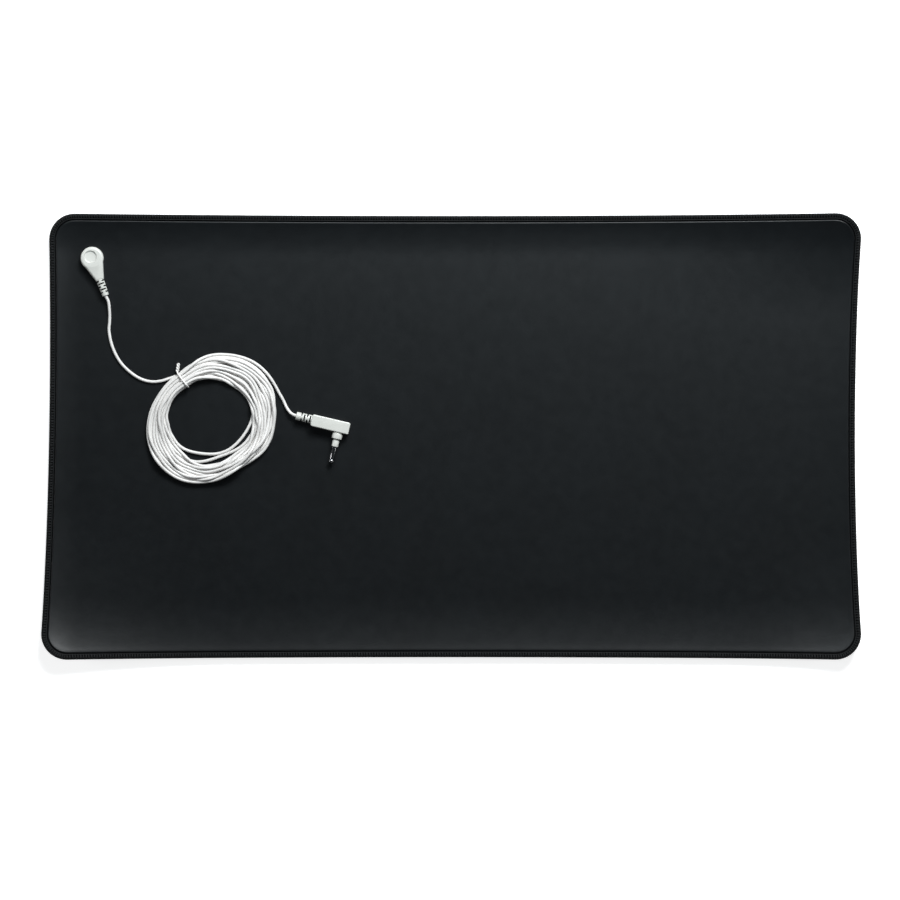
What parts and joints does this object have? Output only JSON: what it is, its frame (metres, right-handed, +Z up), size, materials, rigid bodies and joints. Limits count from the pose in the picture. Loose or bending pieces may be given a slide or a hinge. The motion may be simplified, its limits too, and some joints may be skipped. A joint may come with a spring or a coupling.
{
  "type": "earthing exercise mat",
  "caption": "Flat leatherette exercise mat with an overlocked rim, a press stud at one corner and a tied white earthing cord with a right-angle plug.",
  "frame": {"origin": "on the floor below the middle of the mat", "axes": "+X along the mat's length, +Y across its width towards the side with the press stud, +Z up"},
  "size_m": [0.608, 0.331, 0.0124],
  "materials": {
    "leatherette": "fine matte grain",
    "thread": "twisted polyester thread",
    "white_plastic": "satin moulding",
    "white_cord": "smooth soft sheath",
    "plated_metal": "nickel plating"
  },
  "bodies": {
    "root": {"mat_sheet": "leatherette", "edge_binding": "thread", "snap_stud": "plated_metal", "stud_post": "plated_metal", "snap_socket": "plated_metal", "snap_connector": "white_plastic", "cord_lead": "white_cord", "cord_coil": "white_cord", "cord_tail": "white_cord", "twist_tie": "white_plastic", "plug_housing": "white_plastic", "pin_core": "plated_metal", "pin_spring": "plated_metal"}
  },
  "joints": []
}
